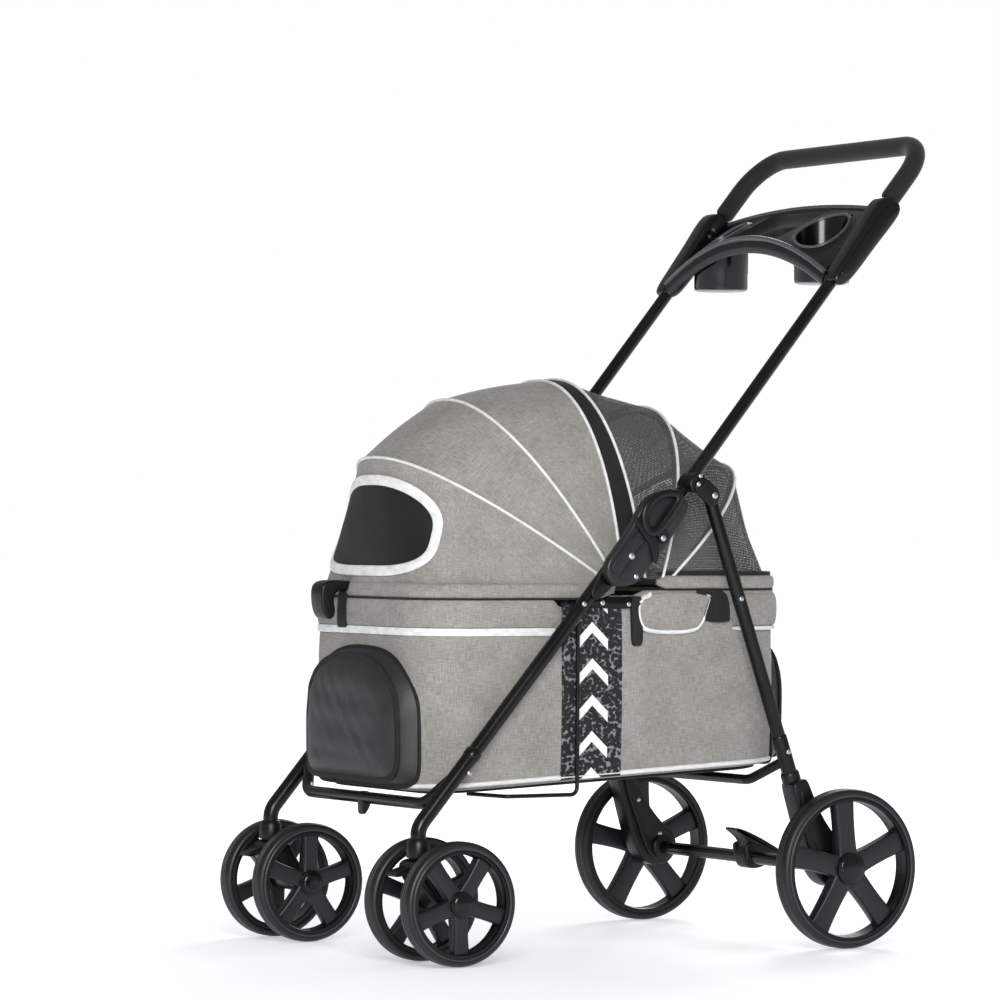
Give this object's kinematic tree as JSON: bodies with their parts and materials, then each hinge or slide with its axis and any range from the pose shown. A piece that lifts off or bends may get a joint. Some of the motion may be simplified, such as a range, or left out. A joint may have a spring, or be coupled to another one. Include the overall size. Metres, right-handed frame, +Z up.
{
  "type": "pet stroller",
  "caption": "Folding pet stroller: fabric basket under a hooped hood on a tubular frame with swivel casters, braked rear wheels and a cup tray.",
  "frame": {"origin": "on the ground, at the middle of the footprint of the bounding box", "axes": "+X to the stroller's left side, +Y to the rear (the person pushing), +Z up"},
  "size_m": [0.507, 0.8022, 1.0325],
  "materials": {
    "black_tube": "semi-gloss powder coat",
    "black_plastic": "fine satin moulding",
    "grey_plastic": "satin moulding",
    "tyre_rubber": "matt solid tyre",
    "grip_foam": "closed-cell foam",
    "grey_cloth": "melange plain weave",
    "black_mesh": "open mesh",
    "bright_steel": "zinc plated"
  },
  "bodies": {
    "rear_frame": {"rear_leg_left": "black_tube", "rear_leg_right": "black_tube", "rear_housing_left": "black_plastic", "rear_housing_right": "black_plastic", "rear_axle": "black_tube", "rear_cross_tube": "black_tube"},
    "handle_frame": {"handle_tube": "black_tube", "handle_grip": "grip_foam", "drink_tray": "black_plastic", "tray_wing_left": "black_plastic", "tray_wing_right": "black_plastic", "hinge_housing_left": "grey_plastic", "hinge_housing_right": "grey_plastic", "hinge_pin_left": "bright_steel", "hinge_pin_right": "bright_steel", "leg_bracket_left": "black_plastic", "leg_bracket_right": "black_plastic"},
    "front_frame": {"front_leg_left": "black_tube", "front_leg_right": "black_tube", "hinge_base_left": "black_tube", "hinge_base_right": "black_tube", "support_wire_left": "black_tube", "support_wire_right": "black_tube", "caster_socket_left": "black_plastic", "caster_socket_right": "black_plastic", "front_cross_tube": "black_tube"},
    "basket": {"rim_tube_front": "black_tube", "rim_tube_rear": "black_tube", "basket_tub": "grey_cloth", "floor_pad": "grey_cloth", "front_window_panel": "black_mesh", "rear_window_panel": "black_mesh", "front_tab": "black_plastic", "hoop_top": "bright_steel", "hoop_back": "bright_steel", "hoop_tail": "bright_steel", "hood_mesh_rear": "black_mesh", "hood_panel_top": "grey_cloth"},
    "hood_middle": {"hoop_middle": "bright_steel", "hood_panel_front": "grey_cloth"},
    "hood_front": {"hoop_front": "bright_steel", "hood_visor": "grey_cloth"},
    "caster_left": {"caster_fork_left": "black_plastic"},
    "release_lever_left": {"release_lever_left": "grey_plastic"},
    "caster_right": {"caster_fork_right": "black_plastic"},
    "release_lever_right": {"release_lever_right": "grey_plastic"},
    "brake_pedal": {"brake_pedal": "black_plastic"},
    "front_wheel_left_outer": {"front_wheel_left_outer_hub": "black_plastic", "front_wheel_left_outer_tyre": "tyre_rubber"},
    "front_wheel_left_inner": {"front_wheel_left_inner_hub": "black_plastic", "front_wheel_left_inner_tyre": "tyre_rubber"},
    "front_wheel_right_outer": {"front_wheel_right_outer_hub": "black_plastic", "front_wheel_right_outer_tyre": "tyre_rubber"},
    "front_wheel_right_inner": {"front_wheel_right_inner_hub": "black_plastic", "front_wheel_right_inner_tyre": "tyre_rubber"},
    "rear_wheel_left": {"rear_wheel_left_hub": "black_plastic", "rear_wheel_left_tyre": "tyre_rubber"},
    "rear_wheel_right": {"rear_wheel_right_hub": "black_plastic", "rear_wheel_right_tyre": "tyre_rubber"}
  },
  "joints": [
    {"name": "fold", "type": "hinge", "parent": "rear_frame", "child": "handle_frame", "pos_m": [0, 0.04794, 0.566], "axis": [-1, 0, 0], "range_deg": [0, 76]},
    {"name": "front_leg_fold", "type": "hinge", "parent": "handle_frame", "child": "front_frame", "pos_m": [0, -0.07506, 0.491], "axis": [1, 0, 0], "range_deg": [0, 110]},
    {"name": "basket_fold", "type": "hinge", "parent": "rear_frame", "child": "basket", "pos_m": [0, 0.09164, 0.436], "axis": [-1, 0, 0], "range_deg": [0, 45], "deforming": ["basket_tub", "floor_pad", "front_window_panel", "rear_window_panel"]},
    {"name": "hood_fold", "type": "hinge", "parent": "basket", "child": "hood_middle", "pos_m": [0, -0.05406, 0.444], "axis": [-1, 0, 0], "range_deg": [0, 22], "deforming": ["hood_panel_front", "hood_panel_top"]},
    {"name": "visor_fold", "type": "hinge", "parent": "hood_middle", "child": "hood_front", "pos_m": [0, -0.05406, 0.444], "axis": [-1, 0, 0], "range_deg": [0, 18]},
    {"name": "release_left", "type": "hinge", "parent": "handle_frame", "child": "release_lever_left", "pos_m": [0.2228, -0.03406, 0.512], "axis": [1, 0, 0], "range_deg": [0, 16], "stiffness_Nm_per_rad": 0.4},
    {"name": "caster_swivel_left", "type": "hinge", "parent": "front_frame", "child": "caster_left", "pos_m": [0.1905, -0.35606, 0.12], "axis": [0, 0, 1], "continuous": true},
    {"name": "front_wheel_spin_left_outer", "type": "hinge", "parent": "caster_left", "child": "front_wheel_left_outer", "pos_m": [0.2345, -0.32606, 0.075], "axis": [1, 0, 0], "continuous": true},
    {"name": "front_wheel_spin_left_inner", "type": "hinge", "parent": "caster_left", "child": "front_wheel_left_inner", "pos_m": [0.1465, -0.32606, 0.075], "axis": [1, 0, 0], "continuous": true},
    {"name": "rear_wheel_spin_left", "type": "hinge", "parent": "rear_frame", "child": "rear_wheel_left", "pos_m": [0.24, 0.23194, 0.1], "axis": [1, 0, 0], "continuous": true},
    {"name": "release_right", "type": "hinge", "parent": "handle_frame", "child": "release_lever_right", "pos_m": [-0.2228, -0.03406, 0.512], "axis": [1, 0, 0], "range_deg": [0, 16], "stiffness_Nm_per_rad": 0.4},
    {"name": "caster_swivel_right", "type": "hinge", "parent": "front_frame", "child": "caster_right", "pos_m": [-0.1905, -0.35606, 0.12], "axis": [0, 0, 1], "continuous": true},
    {"name": "front_wheel_spin_right_outer", "type": "hinge", "parent": "caster_right", "child": "front_wheel_right_outer", "pos_m": [-0.2345, -0.32606, 0.075], "axis": [1, 0, 0], "continuous": true},
    {"name": "front_wheel_spin_right_inner", "type": "hinge", "parent": "caster_right", "child": "front_wheel_right_inner", "pos_m": [-0.1465, -0.32606, 0.075], "axis": [1, 0, 0], "continuous": true},
    {"name": "rear_wheel_spin_right", "type": "hinge", "parent": "rear_frame", "child": "rear_wheel_right", "pos_m": [-0.24, 0.23194, 0.1], "axis": [1, 0, 0], "continuous": true},
    {"name": "brake_press", "type": "hinge", "parent": "rear_frame", "child": "brake_pedal", "pos_m": [0.02, 0.23194, 0.1], "axis": [-1, 0, 0], "range_deg": [0, 18]}
  ],
  "couplings": [
    {"joint": "front_leg_fold", "follows": "fold", "ratio": 1.44},
    {"joint": "basket_fold", "follows": "fold", "ratio": 0.585},
    {"joint": "visor_fold", "follows": "hood_fold", "ratio": 0.8}
  ]
}
